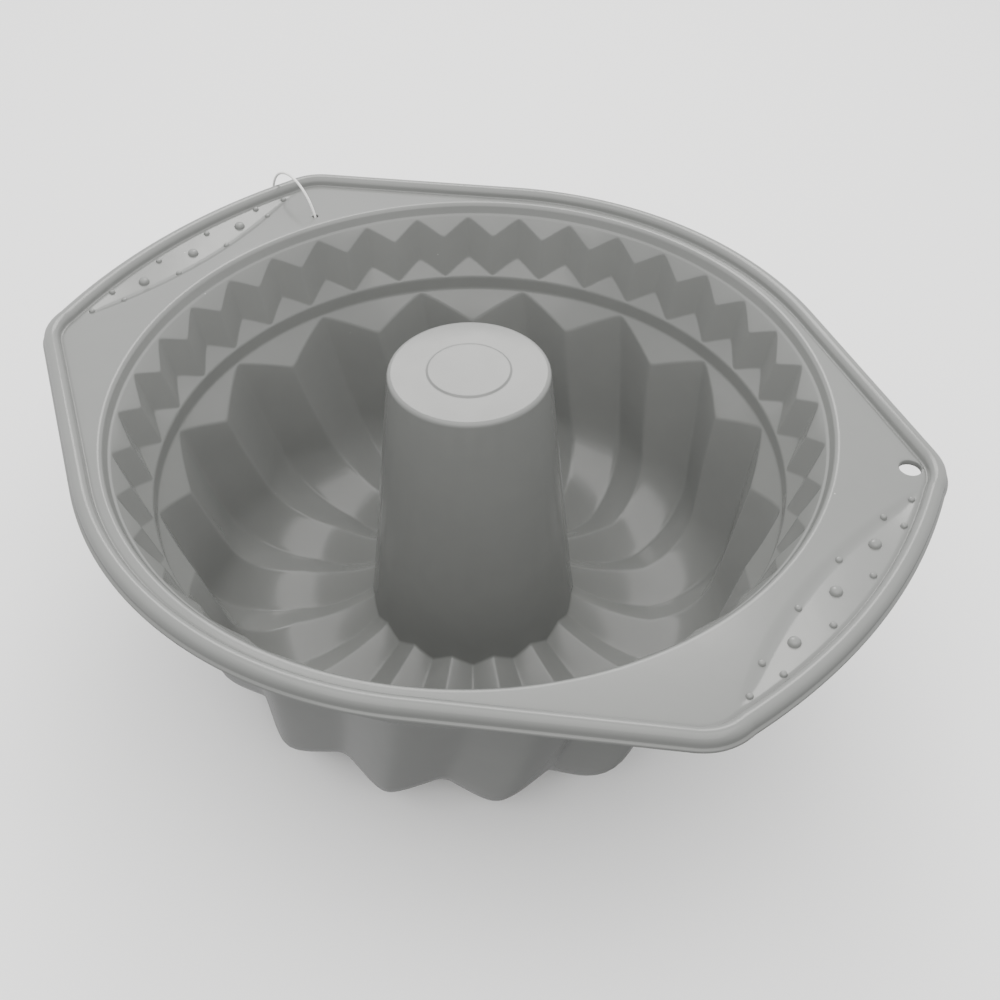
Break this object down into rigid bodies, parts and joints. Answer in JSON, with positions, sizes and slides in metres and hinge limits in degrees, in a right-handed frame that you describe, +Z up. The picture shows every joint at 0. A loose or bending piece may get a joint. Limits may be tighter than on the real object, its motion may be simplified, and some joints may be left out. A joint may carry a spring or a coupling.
{
  "type": "silicone bundt mould",
  "caption": "Flexible ring-cake mould with swirled V flutes, a pleated upper band, a hollow centre core and two ear handles.",
  "frame": {"origin": "middle of the plane the flute bottoms stand on, on the core's axis", "axes": "+Z up along the core's axis, +X through the ear with the hanging hole"},
  "size_m": [0.2764, 0.2382, 0.1096],
  "materials": {
    "silicone": "semi-gloss grey silicone",
    "nylon": "translucent white nylon thread"
  },
  "bodies": {
    "mould": {"mould": "silicone"},
    "tag_loop": {"tag_loop": "nylon"}
  },
  "joints": [
    {"name": "tag_loop_turn", "type": "hinge", "parent": "mould", "child": "tag_loop", "pos_m": [-0.12137, 0.04607, 0.093], "axis": [0.2164, 0.9763, 0], "range_deg": [-85, 228]}
  ]
}
